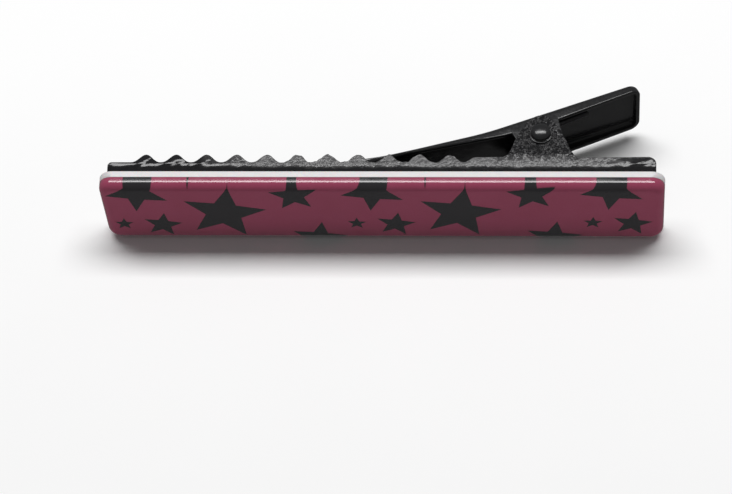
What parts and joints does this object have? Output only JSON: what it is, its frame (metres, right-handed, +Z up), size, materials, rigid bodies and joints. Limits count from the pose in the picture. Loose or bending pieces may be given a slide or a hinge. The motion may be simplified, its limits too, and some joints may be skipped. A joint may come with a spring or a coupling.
{
  "type": "alligator hair clip",
  "caption": "Sprung toothed metal alligator hair clip with a flat printed plastic bar glued along its back, lying on its long edge.",
  "frame": {"origin": "centre of the clip's bounding box, at the level of the long bar edge that it lies on", "axes": "+X along the clip towards the thumb handle, +Y from the decorated bar face towards the handle, +Z up, across the clip's width and along the pivot pin"},
  "size_m": [0.0774, 0.0192, 0.0127],
  "materials": {
    "bar_plastic": "white moulded plastic",
    "printed_film": "glossy film, rose pink printed with black stars",
    "adhesive": "cured clear glue",
    "black_enamel": "glossy black baked enamel on pressed steel, slightly rough",
    "spring_steel": "blackened spring wire"
  },
  "bodies": {
    "base": {"bar_core": "bar_plastic", "printed_film": "printed_film", "adhesive_pad": "adhesive", "base_jaw": "black_enamel", "pivot_pin": "black_enamel", "torsion_spring": "spring_steel"},
    "lever": {"lever_jaw": "black_enamel"}
  },
  "joints": [
    {"name": "lever_pivot", "type": "hinge", "parent": "base", "child": "lever", "pos_m": [0.0218, 0.00006, 0.00635], "axis": [0, 0, -1], "range_deg": [0, 50], "stiffness_Nm_per_rad": 0.002, "springref_deg": -17.19, "deforming": ["torsion_spring"]}
  ]
}
